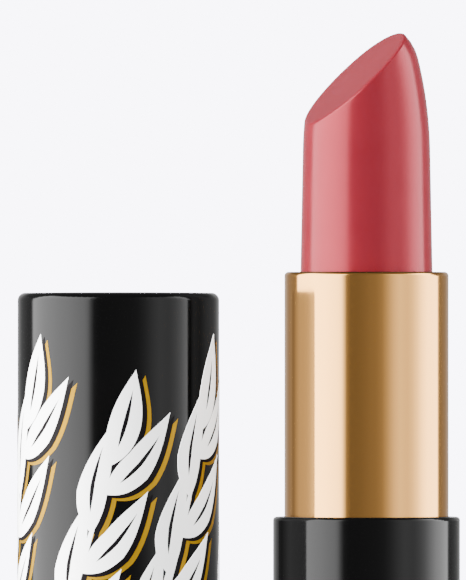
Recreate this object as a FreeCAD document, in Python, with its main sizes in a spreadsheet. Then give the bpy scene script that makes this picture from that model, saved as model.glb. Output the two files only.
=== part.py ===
"""Swivel lipstick case with its cap standing beside it.

The case stands on its foot on the plane z = 0, with the swivel axis on Z and the lipstick wound out.
Turning the gold sleeve lowers a two-lug cup along straight slots in the fixed inner body, because
the lugs also ride in the two helical slots of the spiral that is pressed into the sleeve.
The cap slides over the collar and lands on the foot cover, whose outer wall is flush with the cap's.
All sizes are in millimetres.
"""

import FreeCAD
import Part
import Sketcher

import math
import os

Vector = FreeCAD.Vector

# Name, value and meaning of each driving dimension.
DIMENSIONS = [
    # Outer shells: the foot cover and the cap are the same drawn and lacquered tube.
    ("shell_radius", 9.7, "outer radius of the foot cover and of the cap"),
    ("shell_wall", 0.62, "wall of the foot cover and of the cap"),
    ("shell_floor", 0.8, "closed end of the foot cover and of the cap"),
    ("foot_height", 21.0, "height of the foot cover, where the cap lands"),
    ("foot_round", 0.6, "rounding of the foot cover's lower edge"),
    ("mouth_round", 0.18, "rounding of the open rims of the shells"),
    ("label_radius", 7.0, "radius of the shade label under the foot"),
    ("label_paper", 0.1, "thickness of the shade label"),
    ("label_recess", 0.15, "depth of the label's recess"),
    ("label_gap", 0.3, "space between the label and its recess's wall"),
    # Inner base with the visible collar.
    ("collar_radius", 9.0, "outer radius of the collar"),
    ("collar_top", 30.0, "height of the collar's rim"),
    ("collar_round", 0.35, "rounding of the collar's rim"),
    ("collar_bore", 8.02, "bore in which the sleeve turns"),
    ("step_height", 12.4, "shoulder in the bore that carries the inner body"),
    ("plug_bore", 7.6, "bore below the shoulder"),
    ("base_relief", 8.8, "outer radius of the inner base under the foot cover"),
    ("base_bottom", 1.0, "lower end of the inner base"),
    ("cover_seat", 2.5, "how far below the foot cover's rim the wider collar starts"),
    ("rib_width", 0.6, "width of the press ribs"),
    ("rib_root", 0.2, "depth to which a rib is sunk in its wall"),
    ("rib_start", 0.5, "height left bare below the press ribs, as a lead-in"),
    ("press_gap", 0.02, "space left at the crest of a press rib and under the brake ring"),
    ("base_ribs", 12, "number of press ribs on the inner base"),
    # Weight.
    ("weight_radius", 7.5, "radius of the steel weight"),
    ("weight_bottom", 1.2, "underside of the weight"),
    ("weight_height", 4.8, "height of the weight"),
    ("weight_chamfer", 0.3, "chamfer of the weight"),
    # Inner body, the slotted tube that guides the cup.
    ("body_bore", 6.55, "bore in which the cup slides"),
    ("body_radius", 7.0, "outer radius of the slotted tube"),
    ("body_bottom", 6.5, "lower end of the inner body"),
    ("body_floor", 1.0, "floor of the inner body"),
    ("plug_radius", 7.2, "outer radius of the plug between its ribs"),
    ("plug_ribs", 16, "number of press ribs on the plug"),
    ("flange_radius", 7.9, "radius of the flange under the spiral"),
    ("flange_height", 1.1, "height of the flange"),
    ("body_top", 52.95, "upper end of the inner body"),
    ("bead_radius", 7.3, "radius of the snap bead that keeps the spiral down"),
    ("bead_drop", 0.65, "height of the tube's end from the foot of the snap bead"),
    ("bead_lead", 0.15, "height over which the bead's underside slopes out"),
    ("bead_land", 0.2, "height of the bead's cylindrical crest"),
    ("vent_radius", 1.0, "vent through the floors and the weight"),
    ("slot_width", 1.7, "width of the straight and the helical slots"),
    ("brake_radius", 7.45, "mean radius of the brake ring"),
    ("brake_section", 0.19, "section radius of the brake ring"),
    # Gold sleeve with the spiral pressed into it.
    ("sleeve_radius", 7.9, "outer radius of the sleeve"),
    ("sleeve_wall", 0.3, "wall of the sleeve"),
    ("sleeve_bottom", 13.95, "lower end of the sleeve and of the spiral"),
    ("sleeve_top", 53.55, "upper rim of the sleeve"),
    ("sleeve_round", 0.4, "rounding of the sleeve's rim"),
    ("lip_radius", 6.75, "mouth in the sleeve's turned-in lip"),
    ("spiral_radius", 7.58, "outer radius of the spiral"),
    ("spiral_bore", 7.06, "bore of the spiral"),
    ("spiral_top", 52.15, "upper end of the spiral"),
    # Swivel.
    ("swivel_travel", 25.0, "travel of the cup"),
    ("swivel_lead", 20.0, "rise of the cup in one turn"),
    ("slot_run_out", 8.0, "degrees that the helical slots run past the lugs"),
    ("cutter_margin", 0.3, "how far the helical cutters stand out of the spiral's wall"),
    # Cup and lipstick.
    ("cup_radius", 6.45, "outer radius of the cup"),
    ("cup_bore", 5.92, "bore of the cup"),
    ("cup_bottom", 39.6, "underside of the cup, wound out"),
    ("cup_floor", 0.8, "floor of the cup"),
    ("cup_top", 51.0, "rim of the cup, wound out"),
    ("lug_height", 41.0, "centre of the lugs, wound out"),
    ("lug_radius", 0.75, "radius of the lugs"),
    ("lug_reach", 7.45, "distance of a lug's end from the axis"),
    ("stem_radius", 5.9, "radius of the lipstick inside the cup"),
    ("wax_gap", 0.05, "space between the lipstick and the cup, below it and above its rim"),
    ("bullet_shoulder", 6.4, "radius of the lipstick just above the cup"),
    ("bullet_waist", 6.133, "radius where the straight side meets the long curve"),
    ("waist_rise", 11.64, "height of that place above the sleeve's rim"),
    ("bullet_temple", 4.96, "radius where the long curve meets the nose"),
    ("temple_rise", 20.42, "height of that place above the sleeve's rim"),
    ("crown_rise", 24.16, "height of the uncut nose above the sleeve's rim"),
    ("side_curve", 39.8, "radius of the long curve"),
    ("nose_curve", 4.94, "radius of the nose"),
    ("tip_radius", 3.42, "distance of the tip from the axis"),
    ("tip_rise", 22.94, "height of the tip above the sleeve's rim"),
    ("cut_slope", 43.3, "degrees between the slanted face and the horizontal"),
    ("bullet_turn", 20.7, "degrees that the slanted face is turned to the front"),
    # Cap.
    ("cap_offset", 23.86, "distance of the standing cap's axis from the swivel axis"),
    ("cap_height", 51.6, "height of the cap at its centre"),
    ("cap_crown", 0.07, "rise of the cap's slightly domed top"),
    ("cap_round", 0.75, "rounding of the cap's upper edge"),
    ("liner_radius", 9.05, "outer radius of the cap's liner"),
    ("liner_bore", 8.1, "bore of the cap's liner"),
    ("liner_bottom", 9.35, "lower end of the liner, which stops above the collar"),
    ("liner_top", 50.7, "upper end of the liner"),
    ("liner_floor", 0.7, "closed end of the liner"),
    ("grip_radius", 7.95, "distance of the grip ribs from the cap's axis"),
    ("grip_bottom", 10.2, "lower end of the grip ribs"),
    ("grip_height", 7.0, "height of the grip ribs"),
    ("grip_width", 0.6, "width of the grip ribs"),
    ("grip_ribs", 8, "number of grip ribs"),
    ("slit_width", 0.9, "width of the slits between the liner's fingers"),
    ("slit_height", 9.0, "height of those slits"),
    ("slit_run_out", 1.0, "how far the slits' cutter passes the liner's lower end"),
]

FULL_TURN = 360.0
QUARTER_TURN = 90.0
BETWEEN_RIBS = 22.5  # degrees from a grip rib to the middle of the gap beside it
CLOSE = 1e-4  # two places nearer than this are the same


class Size:
    """A number together with the spreadsheet expression that gives it."""

    def __init__(self, value, text):
        self.value = value
        self.text = text

    def _with(self, other, value, sign):
        return Size(value, f"({self.text} {sign} {size(other).text})")

    def __add__(self, other):
        return self._with(other, self.value + size(other).value, "+")

    def __sub__(self, other):
        return self._with(other, self.value - size(other).value, "-")

    def __mul__(self, other):
        return self._with(other, self.value * size(other).value, "*")

    def __truediv__(self, other):
        return self._with(other, self.value / size(other).value, "/")

    def __neg__(self):
        return Size(-self.value, f"(-{self.text})")


def size(number):
    """A Size as it is, or a plain number made into one."""
    if isinstance(number, Size):
        return number
    return Size(number, repr(number))


def tangent(degrees):
    """The tangent of an angle that a cell holds in degrees."""
    return Size(math.tan(math.radians(degrees.value)), f"tan({degrees.text} * 1 deg)")


document = FreeCAD.newDocument("lipstick_case")


def fill_sheet():
    """Writes the driving dimensions to the spreadsheet and returns them as Sizes by name."""
    sheet = document.addObject("Spreadsheet::Sheet", "Sizes")
    named = {}
    for row, (alias, value, meaning) in enumerate(DIMENSIONS, start=1):
        sheet.set(f"A{row}", meaning)
        sheet.set(f"B{row}", str(value))
        sheet.setAlias(f"B{row}", alias)
        named[alias] = Size(value, f"Sizes.{alias}")
    document.recompute()
    return named


D = fill_sheet()


def new_body(label):
    body = document.addObject("PartDesign::Body", label)
    body.Label = label
    return body


def origin_feature(body, role):
    return next(f for f in body.Origin.OriginFeatures if f.Role == role)


def new_sketch(body, name, plane, offset=None):
    """A sketch on one of the body's own origin planes, lifted off it by offset along its normal."""
    sketch = body.newObject("Sketcher::SketchObject", name)
    sketch.AttachmentSupport = [(origin_feature(body, plane), "")]
    sketch.MapMode = "FlatFace"
    if offset is not None:
        sketch.setExpression("AttachmentOffset.Base.z", offset.text)
    return sketch


def pin_point(sketch, name, edge, end, across, up):
    """Ties one end of a sketch edge to its place, measured from the sketch's origin."""
    for kind, axis, place in (("DistanceX", -2, across), ("DistanceY", -1, up)):
        place = size(place)
        if abs(place.value) < CLOSE:
            sketch.addConstraint(Sketcher.Constraint("PointOnObject", edge, end, axis))
            continue
        at = sketch.addConstraint(
            Sketcher.Constraint(kind, -1, 1, edge, end, place.value)
        )
        label = f"{name}_{kind[-1].lower()}"
        sketch.renameConstraint(at, label)
        sketch.setExpression(f"Constraints.{label}", place.text)


def draw_outline(sketch, corners, curves=None):
    """Draws a closed outline, counter-clockwise, and pins every corner to the spreadsheet.

    corners holds (across, up) for each corner. curves gives the radius of the outward-bulging arc
    that leaves the corner with that number; the other sides are straight.
    """
    curves = curves or {}
    places = [Vector(size(a).value, size(b).value, 0) for a, b in corners]
    for i, start in enumerate(places):
        end = places[(i + 1) % len(places)]
        if i in curves:
            radius = curves[i].value
            chord = end - start
            inward = Vector(-chord.y, chord.x, 0).normalize()
            depth = math.sqrt(radius**2 - (chord.Length / 2) ** 2)
            centre = (start + end) * 0.5 + inward * depth
            angles = [math.atan2(p.y - centre.y, p.x - centre.x) for p in (start, end)]
            circle = Part.Circle(centre, Vector(0, 0, 1), radius)
            sketch.addGeometry(Part.ArcOfCircle(circle, *angles), False)
        else:
            sketch.addGeometry(Part.LineSegment(start, end), False)
    for i, (across, up) in enumerate(corners):
        before = (i - 1) % len(corners)
        sketch.addConstraint(Sketcher.Constraint("Coincident", before, 2, i, 1))
        pin_point(sketch, f"corner{i}", i, 1, across, up)
    for i, radius in curves.items():
        at = sketch.addConstraint(Sketcher.Constraint("Radius", i, radius.value))
        sketch.renameConstraint(at, f"curve{i}")
        sketch.setExpression(f"Constraints.curve{i}", radius.text)


def turn(body, name, corners, curves=None, kind="Revolution"):
    """Turns an outline, given as (radius, height), about the Z axis; a Groove removes it instead."""
    sketch = new_sketch(body, f"{name}_outline", "XZ_Plane")
    draw_outline(sketch, corners, curves)
    document.recompute()
    turned = body.newObject(f"PartDesign::{kind}", name)
    turned.Profile = sketch
    turned.ReferenceAxis = (sketch, ["V_Axis"])
    turned.Angle = FULL_TURN
    document.recompute()
    return turned


def ring(inner, outer, bottom, top):
    """The outline of a plain ring."""
    return [(inner, bottom), (outer, bottom), (outer, top), (inner, top)]


def rim_edges(feature, *places):
    """The names of the circular edges at each (radius, height)."""
    found = []
    for i, edge in enumerate(feature.Shape.Edges, start=1):
        point = edge.firstVertex().Point
        reach = math.hypot(point.x, point.y)
        for radius, height in places:
            off = math.hypot(reach - size(radius).value, point.z - size(height).value)
            if off < CLOSE and abs(edge.lastVertex().Point.z - point.z) < CLOSE:
                found.append(f"Edge{i}")
    if len(found) < len(places):
        raise RuntimeError(f"{feature.Name}: an edge to dress wasn't found")
    return found


def dress(body, name, kind, amount, *places):
    """A Fillet or Chamfer of the body's tip along the circular edges at places."""
    base = body.Tip
    dressed = body.newObject(f"PartDesign::{kind}", name)
    dressed.Base = (base, rim_edges(base, *places))
    dressed.setExpression("Radius" if kind == "Fillet" else "Size", amount.text)
    document.recompute()
    return dressed


def block_outline(sketch, left, right, low, high):
    draw_outline(sketch, [(left, low), (right, low), (right, high), (left, high)])


def ribs(body, name, inner, outer, width, bottom, height, count):
    """Equal ribs that run along Z, set round the axis."""
    sketch = new_sketch(body, f"{name}_outline", "XY_Plane", bottom)
    block_outline(sketch, inner, outer, -(width / 2), width / 2)
    document.recompute()
    pad = body.newObject("PartDesign::Pad", name)
    pad.Profile = sketch
    pad.setExpression("Length", height.text)
    document.recompute()
    return around(body, f"{name}_round", pad, count)


def around(body, name, feature, count):
    """Repeats a feature round the Z axis."""
    pattern = body.newObject("PartDesign::PolarPattern", name)
    pattern.Originals = [feature]
    pattern.Axis = (origin_feature(body, "Z_Axis"), [""])
    pattern.Angle = FULL_TURN
    pattern.setExpression("Occurrences", count.text)
    body.Tip = pattern
    document.recompute()
    return pattern


def check_cut(before, body, name):
    """Stops the build if a cut took nothing away."""
    if body.Shape.Volume > before - CLOSE:
        raise RuntimeError(f"{name} cut nothing")


def through_cut(body, name, plane, corners):
    """A Pocket through the whole body, both ways from one of its origin planes."""
    before = body.Shape.Volume
    sketch = new_sketch(body, f"{name}_outline", plane)
    draw_outline(sketch, corners)
    document.recompute()
    pocket = body.newObject("PartDesign::Pocket", name)
    pocket.Profile = sketch
    pocket.Type = "ThroughAll"
    pocket.SideType = "Symmetric"
    document.recompute()
    check_cut(before, body, name)
    return pocket


def foot_cover():
    """The black lacquered cover of the foot, with the label's recess underneath."""
    body = new_body("foot_cover")
    bore = D["shell_radius"] - D["shell_wall"]
    recess_radius = D["label_radius"] + D["label_gap"]
    turn(
        body,
        "foot_cover_turned",
        [
            (0, D["label_recess"]),
            (recess_radius, D["label_recess"]),
            (recess_radius, 0),
            (D["shell_radius"], 0),
            (D["shell_radius"], D["foot_height"]),
            (bore, D["foot_height"]),
            (bore, D["shell_floor"]),
            (0, D["shell_floor"]),
        ],
    )
    edge = (D["shell_radius"], 0)
    dress(body, "foot_cover_heel", "Fillet", D["foot_round"], edge)
    rims = [(D["shell_radius"], D["foot_height"]), (bore, D["foot_height"])]
    dress(body, "foot_cover_rim", "Fillet", D["mouth_round"], *rims)
    return body


def shade_label():
    """The round paper label that names the shade, here blank."""
    label = document.addObject("Part::Cylinder", "shade_label")
    label.Label = "shade_label"
    label.setExpression("Radius", D["label_radius"].text)
    label.setExpression("Height", D["label_paper"].text)
    lift = D["label_recess"] - D["label_paper"]
    label.setExpression("Placement.Base.z", lift.text)
    return label


def inner_base():
    """The moulded base inside the foot cover; its upper part is the collar that shows."""
    body = new_body("inner_base")
    seat = D["foot_height"] - D["cover_seat"]
    turn(
        body,
        "inner_base_turned",
        [
            (D["plug_bore"], D["base_bottom"]),
            (D["base_relief"], D["base_bottom"]),
            (D["base_relief"], seat),
            (D["collar_radius"], seat),
            (D["collar_radius"], D["collar_top"]),
            (D["collar_bore"], D["collar_top"]),
            (D["collar_bore"], D["step_height"]),
            (D["plug_bore"], D["step_height"]),
        ],
    )
    rim = (D["collar_radius"], D["collar_top"])
    dress(body, "collar_rim", "Fillet", D["collar_round"], rim)
    mouth = (D["collar_bore"], D["collar_top"])
    dress(body, "collar_mouth", "Chamfer", D["mouth_round"], mouth)
    ribs(
        body,
        "inner_base_rib",
        D["base_relief"] - D["rib_root"],
        D["shell_radius"] - D["shell_wall"] - D["press_gap"],
        D["rib_width"],
        D["base_bottom"] + D["rib_start"],
        seat - D["base_bottom"] - D["rib_start"] - D["rib_root"],
        D["base_ribs"],
    )
    return body


def balance_weight():
    """The steel slug that makes the foot heavy."""
    body = new_body("balance_weight")
    top = D["weight_bottom"] + D["weight_height"]
    outline = ring(D["vent_radius"], D["weight_radius"], D["weight_bottom"], top)
    turn(body, "balance_weight_turned", outline)
    edges = [(D["weight_radius"], D["weight_bottom"]), (D["weight_radius"], top)]
    dress(body, "balance_weight_edges", "Chamfer", D["weight_chamfer"], *edges)
    return body


def inner_body():
    """The fixed tube with two straight slots, a flange, a ribbed plug and a snap bead."""
    body = new_body("inner_body")
    flange_top = D["step_height"] + D["flange_height"]
    bead = D["body_top"] - D["bead_drop"]
    crest = bead + D["bead_lead"]
    turn(
        body,
        "inner_body_turned",
        [
            (D["vent_radius"], D["body_bottom"]),
            (D["plug_radius"], D["body_bottom"]),
            (D["plug_radius"], D["step_height"]),
            (D["flange_radius"], D["step_height"]),
            (D["flange_radius"], flange_top),
            (D["body_radius"], flange_top),
            (D["body_radius"], bead),
            (D["bead_radius"], crest),
            (D["bead_radius"], crest + D["bead_land"]),
            (D["body_radius"], D["body_top"]),
            (D["body_bore"], D["body_top"]),
            (D["body_bore"], D["body_bottom"] + D["body_floor"]),
            (D["vent_radius"], D["body_bottom"] + D["body_floor"]),
        ],
    )
    clearance = D["slot_width"] / 2 - D["lug_radius"]
    reach = D["lug_radius"] + clearance
    low = D["lug_height"] - D["swivel_travel"] - reach
    high = D["lug_height"] + reach
    side = D["slot_width"] / 2
    corners = [(-side, low), (side, low), (side, high), (-side, high)]
    through_cut(body, "lug_slots", "YZ_Plane", corners)
    ribs(
        body,
        "inner_body_rib",
        D["plug_radius"] - D["rib_root"],
        D["plug_bore"] - D["press_gap"],
        D["rib_width"],
        D["body_bottom"] + D["rib_start"],
        D["step_height"] - D["body_bottom"] - D["rib_start"],
        D["plug_ribs"],
    )
    return body


def brake_ring():
    """The silicone ring that gives the swivel its drag."""
    torus = document.addObject("Part::Torus", "brake_ring")
    torus.Label = "brake_ring"
    torus.setExpression("Radius1", D["brake_radius"].text)
    torus.setExpression("Radius2", D["brake_section"].text)
    lift = D["step_height"] + D["flange_height"] + D["brake_section"] + D["press_gap"]
    torus.setExpression("Placement.Base.z", lift.text)
    return torus


def gold_sleeve():
    """The anodised sleeve with its turned-in lip."""
    body = new_body("gold_sleeve")
    bore = D["sleeve_radius"] - D["sleeve_wall"]
    under = D["sleeve_top"] - D["sleeve_wall"]
    turn(
        body,
        "gold_sleeve_turned",
        [
            (bore, D["sleeve_bottom"]),
            (D["sleeve_radius"], D["sleeve_bottom"]),
            (D["sleeve_radius"], D["sleeve_top"]),
            (D["lip_radius"], D["sleeve_top"]),
            (D["lip_radius"], under),
            (bore, under),
        ],
    )
    rim = (D["sleeve_radius"], D["sleeve_top"])
    dress(body, "sleeve_rim", "Fillet", D["sleeve_round"], rim)
    lip = (D["lip_radius"], D["sleeve_top"])
    dress(body, "sleeve_lip", "Fillet", D["mouth_round"], lip)
    return body


def helix_cutter(tube, name, turned):
    """The swept cutter of one helical slot, turned about the axis by turned degrees."""
    run_out = D["swivel_lead"] * D["slot_run_out"] / FULL_TURN
    middle = (D["spiral_bore"] + D["spiral_radius"]) / 2
    helix = document.addObject("Part::Helix", f"{name}_path")
    helix.setExpression("Pitch", D["swivel_lead"].text)
    helix.setExpression("Height", (D["swivel_travel"] + run_out * 2).text)
    helix.setExpression("Radius", middle.text)
    # The slot is level at any one angle, so its upright width is more than the width across it.
    climb = D["swivel_lead"].value / (2 * math.pi * middle.value)
    upright = D["slot_width"].value * math.sqrt(1 + climb**2) / 2
    margin = D["cutter_margin"].value
    inner = D["spiral_bore"].value - margin
    outer = D["spiral_radius"].value + margin
    corners = [
        Vector(inner, 0, -upright),
        Vector(outer, 0, -upright),
        Vector(outer, 0, upright),
        Vector(inner, 0, upright),
    ]
    document.recompute()
    sweep = Part.BRepOffsetAPI.MakePipeShell(Part.Wire(helix.Shape.Edges))
    sweep.setBiNormalMode(Vector(0, 0, 1))
    sweep.add(Part.makePolygon(corners + corners[:1]))
    sweep.build()
    sweep.makeSolid()
    cutter = document.addObject("Part::Feature", name)
    cutter.Shape = sweep.shape()
    sweep_turns = D["swivel_travel"].value / D["swivel_lead"].value
    start = turned - FULL_TURN * sweep_turns - D["slot_run_out"].value
    low = D["lug_height"] - D["swivel_travel"] - run_out
    cutter.Placement = FreeCAD.Placement(
        Vector(0, 0, low.value), FreeCAD.Rotation(Vector(0, 0, 1), start)
    )
    slotted = document.addObject("Part::Cut", f"{name}_slot")
    slotted.Base = tube
    slotted.Tool = cutter
    document.recompute()
    return slotted


def spiral():
    """The moulded tube with two helical slots, half a turn apart, for the lugs."""
    tube = new_body("spiral_blank")
    outline = ring(
        D["spiral_bore"], D["spiral_radius"], D["sleeve_bottom"], D["spiral_top"]
    )
    turn(tube, "spiral_turned", outline)
    slotted = helix_cutter(tube, "first_helix", 0.0)
    slotted = helix_cutter(slotted, "second_helix", FULL_TURN / 2)
    slotted.Label = "spiral"
    return slotted


def cup():
    """The cup that holds the lipstick, with two round lugs low on its sides."""
    body = new_body("cup")
    sketch = new_sketch(body, "lug_outline", "YZ_Plane")
    centre = Vector(0, D["lug_height"].value, 0)
    circle = Part.Circle(centre, Vector(0, 0, 1), D["lug_radius"].value)
    sketch.addGeometry(circle, False)
    pin_point(sketch, "centre", 0, 3, 0, D["lug_height"])
    at = sketch.addConstraint(Sketcher.Constraint("Radius", 0, D["lug_radius"].value))
    sketch.renameConstraint(at, "radius")
    sketch.setExpression("Constraints.radius", D["lug_radius"].text)
    document.recompute()
    lugs = body.newObject("PartDesign::Pad", "lugs")
    lugs.Profile = sketch
    lugs.SideType = "Symmetric"
    lugs.setExpression("Length", (D["lug_reach"] * 2).text)
    document.recompute()
    wall = ring(D["vent_radius"], D["cup_radius"], D["cup_bottom"], D["cup_top"])
    turn(body, "cup_wall", wall)
    before = body.Shape.Volume
    floor = D["cup_bottom"] + D["cup_floor"]
    inside = ring(0, D["cup_bore"], floor, D["cup_top"])
    turn(body, "cup_inside", inside, kind="Groove")
    vent = ring(0, D["vent_radius"], D["cup_bottom"], floor)
    turn(body, "cup_vent", vent, kind="Groove")
    check_cut(before, body, "cup_inside")
    return body


def bullet():
    """The lipstick: a tapering round stick with an ogive nose, cut off on a slant."""
    body = new_body("lipstick_bullet")
    rim = D["sleeve_top"]
    gap = D["wax_gap"]
    turn(
        body,
        "bullet_turned",
        [
            (0, D["cup_bottom"] + D["cup_floor"] + gap),
            (D["stem_radius"], D["cup_bottom"] + D["cup_floor"] + gap),
            (D["stem_radius"], D["cup_top"] + gap),
            (D["bullet_shoulder"], D["cup_top"] + gap),
            (D["bullet_waist"], rim + D["waist_rise"]),
            (D["bullet_temple"], rim + D["temple_rise"]),
            (0, rim + D["crown_rise"]),
        ],
        {4: D["side_curve"], 5: D["nose_curve"]},
    )
    beyond = D["shell_radius"]
    slope = tangent(D["cut_slope"])
    tip = rim + D["tip_rise"]
    top = tip + (beyond - D["tip_radius"]) * slope
    low = tip - (beyond + D["tip_radius"]) * slope
    through_cut(
        body, "slanted_cut", "XZ_Plane", [(-beyond, low), (beyond, top), (-beyond, top)]
    )
    body.Placement.Rotation.Axis = Vector(0, 0, 1)
    body.setExpression("Placement.Rotation.Angle", f"{D['bullet_turn'].text} * 1 deg")
    return body


def cap_shell():
    """The black lacquered cap: a drawn tube with a slightly domed closed end."""
    body = new_body("cap_shell")
    bore = D["shell_radius"] - D["shell_wall"]
    shoulder = D["cap_height"] - D["cap_crown"]
    ceiling = D["cap_height"] - D["shell_floor"]
    half_chord = D["shell_radius"]
    dome = (half_chord * half_chord + D["cap_crown"] * D["cap_crown"]) / (
        D["cap_crown"] * 2
    )
    turn(
        body,
        "cap_shell_turned",
        [
            (bore, 0),
            (D["shell_radius"], 0),
            (D["shell_radius"], shoulder),
            (0, D["cap_height"]),
            (0, ceiling),
            (bore, ceiling),
        ],
        {2: dome},
    )
    edge = (D["shell_radius"], shoulder)
    dress(body, "cap_shoulder", "Fillet", D["cap_round"], edge)
    rims = [(D["shell_radius"], 0), (bore, 0)]
    dress(body, "cap_mouth", "Fillet", D["mouth_round"], *rims)
    stand_aside(body)
    return body


def cap_liner():
    """The liner whose slit lower end and ribs grip the sleeve when the cap is on."""
    body = new_body("cap_liner")
    ceiling = D["liner_top"] - D["liner_floor"]
    turn(
        body,
        "cap_liner_turned",
        [
            (D["liner_bore"], D["liner_bottom"]),
            (D["liner_radius"], D["liner_bottom"]),
            (D["liner_radius"], D["liner_top"]),
            (0, D["liner_top"]),
            (0, ceiling),
            (D["liner_bore"], ceiling),
        ],
    )
    lead_in = (D["liner_bore"], D["liner_bottom"])
    dress(body, "liner_lead_in", "Chamfer", D["mouth_round"], lead_in)
    ribs(
        body,
        "grip_rib",
        D["grip_radius"],
        D["liner_bore"] + D["rib_root"],
        D["grip_width"],
        D["grip_bottom"],
        D["grip_height"],
        D["grip_ribs"],
    )
    side = D["slit_width"] / 2
    low = D["liner_bottom"] - D["slit_run_out"]
    high = D["liner_bottom"] + D["slit_height"]
    corners = [(-side, low), (side, low), (side, high), (-side, high)]
    slit_body_between_ribs(body, corners)
    stand_aside(body)
    return body


def slit_body_between_ribs(body, corners):
    """Four slits: two upright cuts through the body, turned to lie between the grip ribs."""
    before = body.Shape.Volume
    for name, degrees in (("slits_a", BETWEEN_RIBS), ("slits_b", QUARTER_TURN + BETWEEN_RIBS)):
        sketch = new_sketch(body, f"{name}_outline", "YZ_Plane")
        turned = FreeCAD.Rotation(Vector(0, 1, 0), degrees)
        sketch.AttachmentOffset = FreeCAD.Placement(Vector(0, 0, 0), turned)
        draw_outline(sketch, corners)
        document.recompute()
        pocket = body.newObject("PartDesign::Pocket", name)
        pocket.Profile = sketch
        pocket.Type = "ThroughAll"
        pocket.SideType = "Symmetric"
        document.recompute()
    check_cut(before, body, "liner slits")


def stand_aside(body):
    """Stands a piece of the cap beside the case, mouth down."""
    body.setExpression("Placement.Base.x", (-D["cap_offset"]).text)


def check_and_write(pieces):
    """Stops on any failed object or bad solid, then writes each piece to parts/NODE.step."""
    document.recompute()
    for thing in document.Objects:
        if {"Invalid", "Error"} & set(thing.State):
            raise RuntimeError(f"{thing.Name} failed: {thing.State}")
    os.makedirs("parts", exist_ok=True)
    for piece in pieces:
        shape = piece.Shape
        if shape.isNull() or not shape.isValid() or not shape.Solids:
            raise RuntimeError(f"{piece.Label} isn't a valid solid")
        shape.exportStep(os.path.join("parts", f"{piece.Label}.step"))
        box = shape.BoundBox
        print(
            f"{piece.Label}: {len(shape.Solids)} solid, {shape.Volume:.1f} mm3, "
            f"x {box.XMin:.2f} {box.XMax:.2f}, y {box.YMin:.2f} {box.YMax:.2f}, "
            f"z {box.ZMin:.2f} {box.ZMax:.2f}"
        )


check_and_write(
    [
        foot_cover(),
        shade_label(),
        inner_base(),
        balance_weight(),
        inner_body(),
        brake_ring(),
        gold_sleeve(),
        spiral(),
        cup(),
        bullet(),
        cap_shell(),
        cap_liner(),
    ]
)
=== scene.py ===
"""Swivel lipstick case: finishes, the soft-edged lipstick, the cap's printed ornament, the studio."""

import math

import bmesh
import bpy
from mathutils import Matrix, Vector


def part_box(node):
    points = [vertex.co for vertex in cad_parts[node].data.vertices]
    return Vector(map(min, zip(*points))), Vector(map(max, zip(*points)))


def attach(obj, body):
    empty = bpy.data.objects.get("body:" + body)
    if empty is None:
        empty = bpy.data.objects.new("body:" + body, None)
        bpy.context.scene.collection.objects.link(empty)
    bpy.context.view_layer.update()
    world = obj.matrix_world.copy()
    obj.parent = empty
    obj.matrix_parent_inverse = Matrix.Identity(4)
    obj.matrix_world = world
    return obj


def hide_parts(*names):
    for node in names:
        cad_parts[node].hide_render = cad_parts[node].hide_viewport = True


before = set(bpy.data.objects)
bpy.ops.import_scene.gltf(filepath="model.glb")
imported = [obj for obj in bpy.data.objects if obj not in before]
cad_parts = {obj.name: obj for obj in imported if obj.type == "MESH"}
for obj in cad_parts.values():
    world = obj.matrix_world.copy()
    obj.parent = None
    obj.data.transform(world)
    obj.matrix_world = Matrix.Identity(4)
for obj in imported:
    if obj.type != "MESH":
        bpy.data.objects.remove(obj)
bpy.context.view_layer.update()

MM = 0.001

# The standing cap, from the frame: its axis in metres, and its size in millimetres.
cap_low, cap_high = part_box("cap_shell")
CAP_AXIS = (cap_low.x + cap_high.x) / 2
CAP_TOP = cap_high.z / MM
CAP_RADIUS = (cap_high.x - cap_low.x) / 2 / MM

# ---------------------------------------------------------------- the camera

CAMERA_BACK = 1.5  # metres
VIEW_HEIGHT = 55.78 * MM  # height of the view at the swivel axis
SENSOR = 36.0  # millimetres
NEAREST = 0.01
EYE_X = -12.84 * MM
EYE_Z = 51.8 * MM


def set_camera():
    """A level, very long lens, straight in front, halfway between the cap and the case."""
    data = bpy.data.cameras.new("front_camera")
    data.sensor_width = SENSOR
    data.lens = SENSOR * CAMERA_BACK / VIEW_HEIGHT
    data.clip_start = NEAREST
    camera = bpy.data.objects.new("front_camera", data)
    camera.location = (EYE_X, -CAMERA_BACK, EYE_Z)
    camera.rotation_euler = (math.radians(90), 0, 0)
    bpy.context.scene.collection.objects.link(camera)
    bpy.context.scene.camera = camera


# ---------------------------------------------------------------- the studio

BACKDROP = (8.44, 8.29, 9.60)  # a very pale grey once the view transform has rolled it off
FLOOR_RADIUS = 0.35  # metres
FLOOR_PAPER = (0.8, 0.8, 0.81)
FLOOR_ROUGHNESS = 0.6
FLOOR_GLOW = 1.6
FLOOR_DROP = 0.06 * MM  # clear of the foot, so the two don't share a plane
DOME_RADIUS = 0.9  # metres

# How bright the studio is all round: degrees from the camera, negative to the left, and radiance.
# A tall softbox stands on the left with a hard far edge, and a graded panel on the right.
AROUND = [
    (-180, 0.9), (-160, 0.7), (-145, 0.42), (-120, 0.34), (-116, 0.5),
    (-113, 7.4), (-80, 8.2), (-60, 7.6), (-39, 6.0), (-35, 4.7), (-32, 2.2),
    (-28, 0.35), (-22, 0.22), (-12, 0.23), (0, 0.27), (14, 0.33), (22, 0.42),
    (30, 0.75), (40, 1.4), (48, 1.75), (60, 1.55), (68, 2.0), (76, 2.9), (86, 4.9), (95, 6.3),
    (117, 6.6), (120, 0.5), (123, 0.32), (145, 0.38), (160, 0.6), (180, 0.9),
]
BRIGHTEST = 10.0  # the ramps hold shares of this radiance
LIGHT_TOP = 46.0  # degrees up and down to which the softboxes reach
BEHIND_TOP = 19.5  # and the same for the wall behind
BEHIND_FROM = 125.0  # degrees from the camera, either way, where that wall begins
LIGHT_FADE = 8.0  # degrees over which the light then fades
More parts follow.
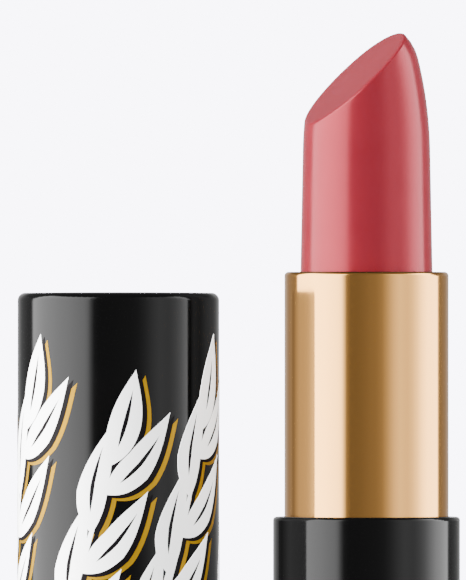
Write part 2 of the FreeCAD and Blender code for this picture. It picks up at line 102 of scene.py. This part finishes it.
OVERHEAD = 0.2  # radiance from above the softboxes
FLOOR_LIGHT = 1.3  # and from below them
DIFFUSE_SHARE = 0.84  # the matt surfaces see the studio through a scrim


def value_node(tree, operation, *inputs, clamp=False):
    """A Math node whose inputs are sockets or numbers; returns its output."""
    node = tree.nodes.new("ShaderNodeMath")
    node.operation = operation
    node.use_clamp = clamp
    for socket, value in zip(node.inputs, inputs):
        if isinstance(value, (int, float)):
            socket.default_value = value
        else:
            tree.links.new(value, socket)
    return node.outputs[0]


def bearing_ramp(tree, direction, profile):
    """Radiance by bearing about Z; returns its socket, the bearing's and the direction's z."""
    split = tree.nodes.new("ShaderNodeSeparateXYZ")
    tree.links.new(direction, split.inputs[0])
    x, y, z = split.outputs
    towards_camera = value_node(tree, "MULTIPLY", y, -1.0)
    azimuth = value_node(tree, "ARCTAN2", x, towards_camera)
    share = value_node(tree, "MULTIPLY_ADD", azimuth, 0.5 / math.pi, 0.5)
    ramp = tree.nodes.new("ShaderNodeValToRGB")
    tree.links.new(share, ramp.inputs[0])
    stops = ramp.color_ramp.elements
    stops.remove(stops[1])
    for i, (degrees, radiance) in enumerate(profile):
        position = (degrees + 180) / 360
        stop = stops[0] if i == 0 else stops.new(position)
        stop.position = position
        stop.color = [radiance / BRIGHTEST] * 3 + [1]
    return value_node(tree, "MULTIPLY", ramp.outputs[0], BRIGHTEST), azimuth, z


def studio_radiance(tree, direction):
    """Nodes that give the studio's radiance in a direction; returns the output socket."""
    walls, azimuth, z = bearing_ramp(tree, direction, AROUND)
    level = value_node(tree, "ABSOLUTE", value_node(tree, "ARCSINE", z))
    turned = value_node(tree, "ABSOLUTE", azimuth)
    behind = value_node(tree, "GREATER_THAN", turned, math.radians(BEHIND_FROM))
    lower = math.radians(BEHIND_TOP - LIGHT_TOP)
    front_start = math.radians(LIGHT_TOP - LIGHT_FADE / 2)
    start = value_node(tree, "MULTIPLY_ADD", behind, lower, front_start)
    span = math.radians(LIGHT_FADE)
    beyond = value_node(
        tree, "DIVIDE", value_node(tree, "SUBTRACT", level, start), span, clamp=True
    )
    lit = value_node(tree, "SUBTRACT", 1.0, beyond)
    downwards = value_node(tree, "LESS_THAN", z, 0.0)
    ends = value_node(tree, "MULTIPLY_ADD", downwards, FLOOR_LIGHT - OVERHEAD, OVERHEAD)
    upper = value_node(tree, "MULTIPLY", beyond, ends)
    return value_node(tree, "MULTIPLY_ADD", walls, lit, upper)


def set_world():
    """The camera sees a plain pale backdrop; matt surfaces are lit by the dimmed studio."""
    world = bpy.data.worlds.new("studio_world")
    bpy.context.scene.world = world
    world.use_nodes = True
    tree = world.node_tree
    tree.nodes.clear()
    place = tree.nodes.new("ShaderNodeTexCoord")
    light = tree.nodes.new("ShaderNodeBackground")
    tree.links.new(studio_radiance(tree, place.outputs["Generated"]), light.inputs["Color"])
    light.inputs["Strength"].default_value = DIFFUSE_SHARE
    seen = tree.nodes.new("ShaderNodeBackground")
    seen.inputs["Color"].default_value = (*BACKDROP, 1)
    path = tree.nodes.new("ShaderNodeLightPath")
    mix = tree.nodes.new("ShaderNodeMixShader")
    out = tree.nodes.new("ShaderNodeOutputWorld")
    tree.links.new(path.outputs["Is Camera Ray"], mix.inputs[0])
    tree.links.new(light.outputs[0], mix.inputs[1])
    tree.links.new(seen.outputs[0], mix.inputs[2])
    tree.links.new(mix.outputs[0], out.inputs[0])
    world.cycles_visibility.glossy = False


def empty_material(name):
    """A material with no nodes yet, for a light-giving surface."""
    material = bpy.data.materials.new(name)
    material.use_nodes = True
    material.node_tree.nodes.clear()
    material.cycles.emission_sampling = "NONE"
    return material


def mesh_piece(name, shape, material, smooth=True):
    """Turns a bmesh into an object at the origin."""
    mesh = bpy.data.meshes.new(name)
    shape.to_mesh(mesh)
    shape.free()
    for polygon in mesh.polygons:
        polygon.use_smooth = smooth
    mesh.materials.append(material)
    piece = bpy.data.objects.new(name, mesh)
    bpy.context.scene.collection.objects.link(piece)
    return piece


def show_in_mirrors_only(piece):
    """Hides a light-giving piece from everything but glossy reflections."""
    for ray in ("camera", "diffuse", "transmission", "volume_scatter", "shadow"):
        setattr(piece, f"visible_{ray}", False)


def softboxes():
    """The studio's radiance by the direction from the dome's centre."""
    material = empty_material("softboxes")
    tree = material.node_tree
    place = tree.nodes.new("ShaderNodeTexCoord")
    straight = tree.nodes.new("ShaderNodeVectorMath")
    straight.operation = "NORMALIZE"
    tree.links.new(place.outputs["Object"], straight.inputs[0])
    glow = tree.nodes.new("ShaderNodeEmission")
    tree.links.new(studio_radiance(tree, straight.outputs[0]), glow.inputs["Color"])
    out = tree.nodes.new("ShaderNodeOutputMaterial")
    tree.links.new(glow.outputs[0], out.inputs[0])
    return material


def add_dome():
    """The softboxes that the glossy finishes mirror, as one dome that nothing else sees."""
    shape = bmesh.new()
    bmesh.ops.create_icosphere(shape, subdivisions=5, radius=DOME_RADIUS)
    dome = mesh_piece("softbox_dome", shape, softboxes())
    dome.location = (EYE_X, 0, EYE_Z)
    show_in_mirrors_only(dome)


def add_floor():
    """A plain pale floor under the foot."""
    shape = bmesh.new()
    bmesh.ops.create_circle(shape, cap_ends=True, segments=128, radius=FLOOR_RADIUS)
    paper = plain_material("floor_paper", FLOOR_PAPER, FLOOR_ROUGHNESS)
    shader = shader_of(paper)
    shader.inputs["Emission Color"].default_value = (1, 1, 1, 1)
    shader.inputs["Emission Strength"].default_value = FLOOR_GLOW
    paper.cycles.emission_sampling = "NONE"
    floor = mesh_piece("floor", shape, paper)
    floor.location.z = -FLOOR_DROP
    floor.visible_glossy = False
    floor.visible_diffuse = False


# Painted reflections: each card's radiance by the bearing of its surface, as degrees from the camera
# and radiance.
CAP_PAINTED_REFLECTION_HIGH = [
    (0, 1.6), (41, 1.5), (50, 1.15), (58, 0.95), (68, 0.85), (80, 0.78), (86, 0.62), (90, 0.5),
    (97, 0.3), (104, 0.3), (112, 0.42), (180, 0.42),
]
CAP_PAINTED_REFLECTION_LOW = [(0, 0.8), (56, 0.8), (74, 0.7), (86, 0.3), (96, 0.12), (180, 0.12)]
CASE_PAINTED_REFLECTION = [
    (-180, 0.3), (-85, 0.42), (-68, 0.28), (-50, 0.5), (-42, 0.3), (-36, 0.04), (0, 0.04),
    (180, 0.3),
]

# The cards' outlines, in millimetres.
CARD_GAP = 0.1  # between a card and its piece
CARD_FOOT = 0.02  # height of a card's lower edge
CAP_EDGE = [(0.0, -0.6), (0.1, -0.15), (0.5, 0.06)]  # inwards from the wall, up from the top
MOUTH_RADIUS = 6.5  # where the case's card leaves the sleeve's rim
STICK_RADIUS = 6.4  # and follows the lipstick up
STICK_RISE = 18.0
CARD_SEGMENTS = 96


def painted_reflection_material(name, centre_x, profile):
    """A glow by bearing about a piece's axis, clear from the inside: the colour of the piece's painted
    reflection.
    """
    material = empty_material(name)
    tree = material.node_tree
    place = tree.nodes.new("ShaderNodeTexCoord")
    centred = tree.nodes.new("ShaderNodeMapping")
    centred.inputs["Location"].default_value = (-centre_x, 0, 0)
    tree.links.new(place.outputs["Object"], centred.inputs["Vector"])
    glow = tree.nodes.new("ShaderNodeEmission")
    tree.links.new(bearing_ramp(tree, centred.outputs[0], profile)[0], glow.inputs["Color"])
    clear = tree.nodes.new("ShaderNodeBsdfTransparent")
    side = tree.nodes.new("ShaderNodeNewGeometry")
    mix = tree.nodes.new("ShaderNodeMixShader")
    out = tree.nodes.new("ShaderNodeOutputMaterial")
    tree.links.new(side.outputs["Backfacing"], mix.inputs[0])
    tree.links.new(glow.outputs[0], mix.inputs[1])
    tree.links.new(clear.outputs[0], mix.inputs[2])
    tree.links.new(mix.outputs[0], out.inputs[0])
    return material


def add_painted_reflection_sleeve(name, centre_x, outline, profile):
    """A pale sleeve round a piece, seen only by mirrors and only from outside: it glows, so mirrors
    show a painted reflection in place of the piece.
    """
    closed = [(0, outline[0][1])] + outline + [(0, outline[-1][1])]
    shape = lathe(closed, CARD_SEGMENTS)
    bmesh.ops.translate(shape, verts=shape.verts, vec=(centre_x, 0, 0))
    show_in_mirrors_only(mesh_piece(name, shape, painted_reflection_material(name, centre_x, profile)))


def add_painted_reflections():
    """Glowing cards round the cap and the case, painted reflections that let the gold and the black see
    each other as pale pieces.
    """
    sleeve_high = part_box("gold_sleeve")[1]
    rim = sleeve_high.z / MM
    sleeve = CARD_GAP + sleeve_high.x / MM
    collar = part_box("inner_base")[1].z / MM
    barrel = CARD_GAP + CAP_RADIUS
    low = [(barrel, CARD_FOOT), (barrel, collar)]
    add_painted_reflection_sleeve("cap_painted_reflection_low", CAP_AXIS, low, CAP_PAINTED_REFLECTION_LOW)
    high = [(barrel, collar)] + [(barrel - inwards, CAP_TOP + rise) for inwards, rise in CAP_EDGE]
    add_painted_reflection_sleeve("cap_painted_reflection_high", CAP_AXIS, high, CAP_PAINTED_REFLECTION_HIGH)
    case = [(barrel, CARD_FOOT), (barrel, collar), (sleeve, collar), (sleeve, rim)]
    case += [(MOUTH_RADIUS, rim), (STICK_RADIUS, rim + STICK_RISE)]
    add_painted_reflection_sleeve("case_painted_reflection", 0.0, case, CASE_PAINTED_REFLECTION)


# Lamps for the white print alone, which the studio's softboxes would leave grey:
# degrees from the camera, height angle and strength.
PRINT_LAMPS = [(-78, 10, 34.0), (75, 10, 6.5), (180, 20, 5.0)]
PRINT_LAMP_WIDTH = math.radians(60)


def add_print_lights(print_piece):
    """Soft lamps linked to the white print only."""
    receivers = bpy.data.collections.new("lit_print")
    receivers.objects.link(print_piece)
    for bearing, height, strength in PRINT_LAMPS:
        data = bpy.data.lights.new(f"print_lamp_{bearing}", "SUN")
        data.energy = strength
        data.angle = PRINT_LAMP_WIDTH
        data.use_shadow = False
        lamp = bpy.data.objects.new(data.name, data)
        lamp.rotation_euler = (math.radians(90 - height), 0, math.radians(bearing))
        lamp.visible_glossy = False
        lamp.light_linking.receiver_collection = receivers
        bpy.context.scene.collection.objects.link(lamp)


# ---------------------------------------------------------------- finishes


def shader_of(material):
    """The material's Principled shader."""
    return material.node_tree.nodes["Principled BSDF"]


def plain_material(name, colour, roughness):
    """A Principled material to build a finish on."""
    material = bpy.data.materials.new(name)
    material.use_nodes = True
    shader = shader_of(material)
    shader.inputs["Base Color"].default_value = (*colour, 1)
    shader.inputs["Roughness"].default_value = roughness
    return material


def noise_of(material, scale, detail=2.0, stretch=(1, 1, 1)):
    """A noise pattern on Object coordinates, stretched along the piece's axes."""
    tree = material.node_tree
    place = tree.nodes.new("ShaderNodeTexCoord")
    mapping = tree.nodes.new("ShaderNodeMapping")
    mapping.inputs["Scale"].default_value = stretch
    noise = tree.nodes.new("ShaderNodeTexNoise")
    noise.inputs["Scale"].default_value = scale
    noise.inputs["Detail"].default_value = detail
    tree.links.new(place.outputs["Object"], mapping.inputs["Vector"])
    tree.links.new(mapping.outputs["Vector"], noise.inputs["Vector"])
    return noise.outputs["Fac"]


NOISE_LOW = 0.3  # nearly all of a noise pattern lies between these two
NOISE_HIGH = 0.7


def vary_roughness(material, pattern, smooth, rough):
    """Lets the polish wander between smooth and rough with the pattern."""
    tree = material.node_tree
    node = tree.nodes.new("ShaderNodeMapRange")
    node.inputs["From Min"].default_value = NOISE_LOW
    node.inputs["From Max"].default_value = NOISE_HIGH
    node.inputs["To Min"].default_value = smooth
    node.inputs["To Max"].default_value = rough
    tree.links.new(pattern, node.inputs["Value"])
    tree.links.new(node.outputs["Result"], shader_of(material).inputs["Roughness"])


def vary_colour(material, pattern, dark, light):
    """Lets the colour wander between dark and light with the pattern."""
    tree = material.node_tree
    mix = tree.nodes.new("ShaderNodeMix")
    mix.data_type = "RGBA"
    mix.inputs["A"].default_value = (*dark, 1)
    mix.inputs["B"].default_value = (*light, 1)
    tree.links.new(pattern, mix.inputs["Factor"])
    tree.links.new(mix.outputs["Result"], shader_of(material).inputs["Base Color"])


def bump(material, pattern, depth, strength=1.0):
    """Raises the surface by up to depth metres where the pattern is bright."""
    tree = material.node_tree
    node = tree.nodes.new("ShaderNodeBump")
    node.inputs["Strength"].default_value = strength
    node.inputs["Distance"].default_value = depth
    tree.links.new(pattern, node.inputs["Height"])
    tree.links.new(node.outputs["Normal"], shader_of(material).inputs["Normal"])


def black_lacquer():
    """Gloss black lacquer: a very slight orange peel, and a polish that varies a little."""
    material = plain_material("black_lacquer", (0.004, 0.004, 0.0042), 0.1)
    shader_of(material).inputs["Specular IOR Level"].default_value = 0.29
    polish = noise_of(material, 240, detail=3)
    vary_roughness(material, polish, 0.085, 0.12)
    vary_colour(material, polish, (0.002, 0.002, 0.0021), (0.003, 0.0029, 0.003))
    bump(material, noise_of(material, 900), 2e-6, 0.3)
    return material


def gold_anodised():
    """Bright gold anodised aluminium with the faint upright grain of drawing."""
    material = plain_material("gold_anodised", (0.9, 0.448, 0.125), 0.1)
    shader_of(material).inputs["Metallic"].default_value = 1.0
    grain = noise_of(material, 1500, detail=3, stretch=(1, 1, 0.01))
    vary_roughness(material, grain, 0.08, 0.115)
    vary_colour(material, grain, (0.88, 0.435, 0.12), (0.92, 0.461, 0.13))
    bump(material, grain, 1e-6, 0.15)
    return material


def lipstick_wax():
    """Satin rose red wax: a faint bloom of pigment, soft light under the skin, fine moulding ripple."""
    material = plain_material("lipstick_wax", (0.42, 0.03, 0.05), 0.2)
    shader = shader_of(material)
    shader.inputs["IOR"].default_value = 1.3
    shader.inputs["Specular IOR Level"].default_value = 0.5
    shader.inputs["Metallic"].default_value = 0.2
    shader.inputs["Subsurface Weight"].default_value = 0.25
    shader.inputs["Subsurface Radius"].default_value = (1.0, 0.25, 0.2)
    shader.inputs["Subsurface Scale"].default_value = 0.6 * MM
    bloom = noise_of(material, 320, detail=5)
    vary_roughness(material, bloom, 0.17, 0.22)
    vary_colour(material, bloom, (0.405, 0.029, 0.048), (0.445, 0.034, 0.055))
    bump(material, noise_of(material, 2600), 4e-6, 0.7)
    return material


def moulded_plastic(name, dark, light, roughness, specular=0.5):
    """A moulded plastic with slightly uneven colour and gloss."""
    material = plain_material(name, light, roughness)
    shader_of(material).inputs["Specular IOR Level"].default_value = specular
    flow = noise_of(material, 180, detail=4)
    vary_roughness(material, flow, roughness * 0.85, roughness * 1.15)
    vary_colour(material, flow, dark, light)
    bump(material, noise_of(material, 1400), 2e-6, 0.4)
    return material


def bright_steel():
    """Turned steel with fine rings."""
    material = plain_material("bright_steel", (0.55, 0.55, 0.56), 0.3)
    shader_of(material).inputs["Metallic"].default_value = 1.0
    rings = noise_of(material, 1200, stretch=(0.02, 0.02, 1))
    vary_roughness(material, rings, 0.22, 0.38)
    vary_colour(material, rings, (0.5, 0.5, 0.51), (0.6, 0.6, 0.61))
    bump(material, rings, 3e-6, 0.4)
    return material


def silicone():
    """Milky silicone rubber."""
    material = moulded_plastic("silicone", (0.6, 0.61, 0.63), (0.68, 0.69, 0.7), 0.45)
    shader = shader_of(material)
    shader.inputs["Subsurface Weight"].default_value = 0.3
    shader.inputs["Subsurface Scale"].default_value = 0.5 * MM
    return material


def label_paper():
    """Coated paper with a fibrous tooth."""
    material = plain_material("label_paper", (0.86, 0.85, 0.83), 0.5)
    fibres = noise_of(material, 2200, detail=6)
    vary_colour(material, fibres, (0.82, 0.81, 0.79), (0.9, 0.89, 0.87))
    bump(material, fibres, 6e-6, 0.5)
    return material


# ---------------------------------------------------------------- the lipstick


def arc_points(start, end, radius, count):
    """Points after start, up to end, on the outward-bulging arc in the (radius, height) plane."""
    start, end = Vector(start), Vector(end)
    chord = end - start
    inward = Vector((-chord.y, chord.x)).normalized()
    centre = (start + end) / 2 + inward * math.sqrt(radius**2 - (chord.length / 2) ** 2)
    first = math.atan2(start.y - centre.y, start.x - centre.x)
    last = math.atan2(end.y - centre.y, end.x - centre.x)
    turns = [first + (last - first) * (i + 1) / count for i in range(count)]
    return [centre + Vector((math.cos(a), math.sin(a))) * radius for a in turns]


def face_outwards(shape):
    """Turns every face of a closed shape outwards."""
    bmesh.ops.recalc_face_normals(shape, faces=shape.faces)
    if shape.calc_volume(signed=True) < 0:
        bmesh.ops.reverse_faces(shape, faces=shape.faces)


MERGE_WITHIN = 1e-7  # metres


def lathe(outline, segments=192):
    """Spins an outline of (radius, height) in millimetres about Z and closes it."""
    shape = bmesh.new()
    row = [shape.verts.new((r * MM, 0, z * MM)) for r, z in outline]
    for a, b in zip(row, row[1:]):
        shape.edges.new((a, b))
    bmesh.ops.spin(
        shape,
        geom=shape.verts[:] + shape.edges[:],
        cent=(0, 0, 0),
        axis=(0, 0, 1),
        angle=math.tau,
        steps=segments,
        use_merge=True,
    )
    bmesh.ops.remove_doubles(shape, verts=shape.verts, dist=MERGE_WITHIN)
    face_outwards(shape)
    return shape


# The lipstick's stem in the cup, in millimetres.
STEM_RADIUS = 5.9
CUP_CLEARANCE = 0.05  # above the cup's rim
SHOULDER_START = 6.25
SHOULDER_RADIUS = 6.4
SHOULDER_ROUND = 0.2

# The moulded outline above it, as radius and height above the sleeve's rim, and the slanted face.
WAIST = (6.133, 11.64)
TEMPLE = (4.98, 20.50)
CROWN = (0.0, 24.28)
SIDE_BOW = 39.8
NOSE_RADIUS = 4.94
TIP = (3.42, 23.07)
FACE_SLOPE = math.radians(43.3)
FACE_TURN = math.radians(20.7)
EDGE_ROLL = 0.26

# How finely the outline is worked out, and how many rings of faces each stretch gets.
STRAIGHT_STEPS = 20
CURVE_STEPS = 60
HALVINGS = 40
SIDE_ROWS = 30
ROLL_ROWS = 7
FACE_ROWS = 10
SHARP_FROM = math.radians(60)


class Lipstick:
    """Works out where the lipstick's skin lies on the upright half-plane at any bearing."""

    def __init__(self):
        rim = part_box("gold_sleeve")[1].z / MM
        self.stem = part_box("lipstick_bullet")[0].z / MM
        self.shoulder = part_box("cup")[1].z / MM + CUP_CLEARANCE
        waist, temple, crown = (Vector((r, rim + h)) for r, h in (WAIST, TEMPLE, CROWN))
        start = Vector((SHOULDER_RADIUS, self.shoulder + SHOULDER_ROUND))
        self.side = [start.lerp(waist, i / STRAIGHT_STEPS) for i in range(STRAIGHT_STEPS + 1)]
        self.side += arc_points(waist, temple, SIDE_BOW, CURVE_STEPS)
        self.side += arc_points(temple, crown, NOSE_RADIUS, CURVE_STEPS)
        self.face_middle = rim + TIP[1] - TIP[0] * math.tan(FACE_SLOPE)
        self.run = [0.0]
        for a, b in zip(self.side, self.side[1:]):
            self.run.append(self.run[-1] + (b - a).length)

    def on_side(self, run):
        """The point of the uncut side that lies run millimetres above the shoulder."""
        i = max(k for k, r in enumerate(self.run[:-1]) if r <= run)
        share = (run - self.run[i]) / (self.run[i + 1] - self.run[i])
        return self.side[i].lerp(self.side[i + 1], share)

    def above_face(self, point, bearing):
        """How far a point of the half-plane stands above the slanted face."""
        return point.y - self.face_middle - point.x * math.cos(bearing) * math.tan(FACE_SLOPE)

    def cut_run(self, bearing):
        """How far up the side the slanted face meets it."""
        low, high = 0.0, self.run[-1]
        for _ in range(HALVINGS):
            middle = (low + high) / 2
            if self.above_face(self.on_side(middle), bearing) > 0:
                high = middle
            else:
                low = middle
        return low

    def section(self, bearing):
        """The skin from the stem's middle to the middle of the slanted face, row by row."""
        cut = self.cut_run(bearing)
        corner = self.on_side(cut)
        middle = Vector((0, self.face_middle))
        roll_end = corner + (middle - corner).normalized() * EDGE_ROLL
        roll_start = self.on_side(cut - EDGE_ROLL)
        rows = [(0, self.stem), (STEM_RADIUS, self.stem)]
        rows += [(STEM_RADIUS, self.shoulder), (SHOULDER_START, self.shoulder)]
        rows += [self.on_side((cut - EDGE_ROLL) * i / SIDE_ROWS) for i in range(SIDE_ROWS)]
        for i in range(ROLL_ROWS + 1):
            t = i / ROLL_ROWS
            rows.append(roll_start.lerp(corner, t).lerp(corner.lerp(roll_end, t), t))
        rows += [roll_end.lerp(middle, (i + 1) / FACE_ROWS) for i in range(FACE_ROWS)]
        return [Vector(row) for row in rows]


def add_lipstick(material):
    """The lipstick with its slanted face, whose edge is rounded as the mould leaves it.

    A drum with one ring of faces for each row is spun first, and then every ring settles on
    the lipstick's skin.
    """
    form = Lipstick()
    rows = len(form.section(0))
    drum = [(0 if i in (0, rows - 1) else 1, i) for i in range(rows)]
    shape = lathe(drum)
    sections = {}
    for vertex in shape.verts:
        row = round(vertex.co.z / MM)
        bearing = round(math.atan2(vertex.co.y, vertex.co.x), 5)
        if bearing not in sections:
            sections[bearing] = form.section(bearing)
        radius, height = sections[bearing][row] * MM
        vertex.co = (radius * math.cos(bearing), radius * math.sin(bearing), height)
    face_outwards(shape)
    turn = Matrix.Rotation(FACE_TURN, 4, "Z")
    bmesh.ops.transform(shape, matrix=turn, verts=shape.verts)
    piece = mesh_piece("lipstick", shape, material)
    piece.data.set_sharp_from_angle(angle=SHARP_FROM)
    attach(piece, "carrier")
    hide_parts("lipstick_bullet")


# ---------------------------------------------------------------- the cap's printed ornament

# The leafy sprigs on the unrolled cap, in millimetres and degrees. Each sprig's stem leans, and its
# leaves stand off it to the left and right in turn, with one more at its end.
PRINT_START = math.radians(74)  # how far round to the left the first sprig's foot is
SPRIGS = 6
SPRIG_LEAN = 65
SPRIG_FOOT = 2.4
FOOT_STEP = 3.4  # every other sprig stands this much higher
STEM = (34.6, 0.9, 3.0)  # length, width and bow
LEAF_PITCH = 3.9
LEAF_FIRST = 0.6
LEAVES_EACH = 9
LEFT_LEAF = (33, 10.2, 3.1, -0.9)  # turn from the stem, length, width and bow
RIGHT_LEAF = (-36, 9.6, 3.1, 0.9)
END_LEAF = (3, 9.4, 3.1, 0.3)
VEIN_FROM = 0.2  # share of the leaf's length before its vein
VEIN_SHARE = 0.6  # and the vein's own share
VEIN_WIDTH = 0.42

# Each print's shift along and up the cap, and its thickness.
LAYERS = {
    "cap_print_gold": (0.92, -0.56, 0.012),
    "cap_print_shadow": (0.5, -0.3, 0.024),
    "cap_print_white": (0.0, 0.0, 0.036),
}
FILM_STEP = 0.0004 / 15  # each stroke is this much thicker than the last, as strokes overlap
STRIP = 0.4  # widest flat strip round the cap
CURVE_FINENESS = 10
STROKE_MERGE = 1e-4  # millimetres


def add_spline(curve, points, place):
    """Adds a closed outline; each point is its corner, its handle before and its handle after."""
    spline = curve.splines.new("BEZIER")
    spline.bezier_points.add(len(points) - 1)
    for knot, (corner, before, after) in zip(spline.bezier_points, points):
        knot.handle_left_type = knot.handle_right_type = "FREE"
        knot.co = place(corner)
        knot.handle_left = place(before)
        knot.handle_right = place(after)
    spline.use_cyclic_u = True


def leaf(length, width, bow):
    """A leaf from its stalk end to its point, bowed to one side.

    Its corners and handles are shares of its length and of half its width.
    """

    def at(x, y):
        return (x * length, y * width / 2 + bow * 4 * x * x)

    return [
        (at(0, 0), at(0.1, -0.55), at(0.1, 0.55)),
        (at(0.42, 1), at(0.2, 1.02), at(0.66, 0.98)),
        (at(1, 0), at(0.88, 0.32), at(0.88, -0.22)),
        (at(0.46, -1), at(0.7, -0.98), at(0.22, -1.02)),
    ]


def leaf_and_vein(length, width, bow):
    """A leaf's outline and the slim vein left bare along its middle."""
    x = VEIN_FROM * length
    vein = leaf(VEIN_SHARE * length, VEIN_WIDTH, bow * VEIN_SHARE**2)
    rise = bow * 4 * VEIN_FROM**2
    slope = bow * 8 * VEIN_FROM * VEIN_SHARE
    moved = [
        tuple((px + x, py + rise + slope * px / (VEIN_SHARE * length)) for px, py in knot)
        for knot in vein
    ]
    return [leaf(length, width, bow), moved]


def strokes():
    """Every stem and leaf on the unrolled cap: its outlines, its stalk end and its direction."""
    spacing = math.tau * CAP_RADIUS / SPRIGS
    for sprig in range(SPRIGS):
        foot = Vector((sprig * spacing, SPRIG_FOOT + FOOT_STEP * (sprig % 2)))
        length, width, bow = STEM
        yield [leaf(length, width, bow / 4)], foot, SPRIG_LEAN
        along = Vector((math.cos(math.radians(SPRIG_LEAN)), math.sin(math.radians(SPRIG_LEAN))))
        across = Vector((-along.y, along.x))
        for number in range(LEAVES_EACH):
            run = LEAF_FIRST + number * LEAF_PITCH
            stalk = foot + along * run + across * (bow * (run / length) ** 2)
            turn, leaf_length, leaf_width, leaf_bow = LEFT_LEAF if number % 2 else RIGHT_LEAF
            yield leaf_and_vein(leaf_length, leaf_width, leaf_bow), stalk, SPRIG_LEAN + turn
        turn, leaf_length, leaf_width, leaf_bow = END_LEAF
        end = foot + along * length + across * bow
        yield leaf_and_vein(leaf_length, leaf_width, leaf_bow), end, SPRIG_LEAN + turn


def flat_stroke(name, outlines, stalk, angle):
    """One stroke on the unrolled cap as a filled flat shape."""
    turn = Matrix.Rotation(math.radians(angle), 2)

    def place(point):
        return (*(turn @ Vector(point) + stalk), 0)

    curve = bpy.data.curves.new(name, "CURVE")
    curve.dimensions = "2D"
    curve.fill_mode = "BOTH"
    curve.resolution_u = CURVE_FINENESS
    for outline in outlines:
        add_spline(curve, outline, place)
    holder = bpy.data.objects.new(name, curve)
    mesh = bpy.data.meshes.new_from_object(holder)
    stroke = bmesh.new()
    stroke.from_mesh(mesh)
    bpy.data.objects.remove(holder)
    bpy.data.meshes.remove(mesh)
    bpy.data.curves.remove(curve)
    return stroke


def cut_into_strips(stroke):
    """Cuts a flat stroke into upright strips, narrow enough to follow the cap's round."""
    reach = [vertex.co.x / STRIP for vertex in stroke.verts]
    for cut in range(math.ceil(min(reach)), math.floor(max(reach)) + 1):
        bmesh.ops.bisect_plane(
            stroke,
            geom=stroke.verts[:] + stroke.edges[:] + stroke.faces[:],
            plane_co=(cut * STRIP, 0, 0),
            plane_no=(1, 0, 0),
        )
    bmesh.ops.remove_doubles(stroke, verts=stroke.verts, dist=STROKE_MERGE)


def thicken(stroke, film):
    """Gives a flat stroke its thickness."""
    grown = bmesh.ops.extrude_face_region(stroke, geom=stroke.faces[:])
    lifted = [part for part in grown["geom"] if isinstance(part, bmesh.types.BMVert)]
    bmesh.ops.translate(stroke, verts=lifted, vec=(0, 0, film))
    bmesh.ops.recalc_face_normals(stroke, faces=stroke.faces)


def roll_round_cap(stroke):
    """Rolls a stroke round the cap: its x goes round, its y up and its z outwards."""
    for vertex in stroke.verts:
        bearing = vertex.co.x / CAP_RADIUS - PRINT_START
        reach = (CAP_RADIUS + vertex.co.z) * MM
        height = vertex.co.y * MM
        vertex.co = (CAP_AXIS + reach * math.sin(bearing), -reach * math.cos(bearing), height)


def add_print(name, material, veined=False):
    """One colour of the ornament: every stroke, thickened and rolled round the cap."""
    along, up, rise = LAYERS[name]
    print_mesh = bpy.data.meshes.new(name)
    joined = bmesh.new()
    for number, (outlines, stalk, angle) in enumerate(strokes()):
        shown = outlines if veined else outlines[:1]
        stroke = flat_stroke(name, shown, stalk + Vector((along, up)), angle)
        cut_into_strips(stroke)
        thicken(stroke, rise + number * FILM_STEP)
        roll_round_cap(stroke)
        stroke.to_mesh(print_mesh)
        stroke.free()
        joined.from_mesh(print_mesh)
    bpy.data.meshes.remove(print_mesh)
    bmesh.ops.recalc_face_normals(joined, faces=joined.faces)
    piece = mesh_piece(name, joined, material, smooth=False)
    piece.visible_diffuse = False
    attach(piece, "cap")
    return piece


def ink(name, dark, light, roughness, specular, metallic=0.0):
    """A printed colour with a faintly uneven coat."""
    material = moulded_plastic(name, dark, light, roughness, specular)
    shader_of(material).inputs["Metallic"].default_value = metallic
    return material


def add_ornament():
    """The white sprigs with their dark shadow and gold edge, all round the cap."""
    add_print(
        "cap_print_gold",
        ink("gold_foil", (0.52, 0.28, 0.003), (0.62, 0.34, 0.006), 0.4, 0.1, metallic=0.25),
    )
    add_print(
        "cap_print_shadow",
        ink("shadow_ink", (0.0035, 0.0022, 0.0028), (0.0055, 0.0035, 0.0042), 0.5, 0.12),
    )
    return add_print(
        "cap_print_white",
        ink("white_ink", (0.84, 0.84, 0.84), (0.88, 0.88, 0.88), 0.14, 0.35),
        veined=True,
    )


# ---------------------------------------------------------------- put together

FINISHES = {
    "cap_shell": black_lacquer,
    "foot_cover": black_lacquer,
    "gold_sleeve": gold_anodised,
    "inner_base": lambda: moulded_plastic(
        "black_plastic", (0.002, 0.002, 0.0021), (0.0032, 0.0031, 0.0032), 0.11, specular=0.3
    ),
    "cap_liner": lambda: moulded_plastic(
        "black_liner_plastic", (0.006, 0.006, 0.0062), (0.009, 0.009, 0.0092), 0.3
    ),
    "inner_body": lambda: moulded_plastic(
        "white_plastic", (0.78, 0.77, 0.74), (0.84, 0.83, 0.8), 0.38
    ),
    "spiral": lambda: moulded_plastic("white_acetal", (0.78, 0.77, 0.74), (0.84, 0.83, 0.8), 0.3),
    "cup": lambda: moulded_plastic("white_cup_plastic", (0.8, 0.79, 0.77), (0.86, 0.85, 0.83), 0.34),
    "balance_weight": bright_steel,
    "brake_ring": silicone,
    "shade_label": label_paper,
}


def finish_nodes():
    """Gives each CAD piece its finish."""
    for node, finish in FINISHES.items():
        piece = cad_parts[node]
        material = finish()
        for slot in piece.material_slots:
            slot.material = material


set_camera()
set_world()
add_dome()
add_floor()
finish_nodes()
add_lipstick(lipstick_wax())
# Painted reflections of the cap and the case, seen only in the glossy finishes.
add_painted_reflections()
white_print = add_ornament()
add_print_lights(white_print)

scene = bpy.context.scene
scene.view_settings.view_transform = "AgX"
scene.view_settings.look = "None"
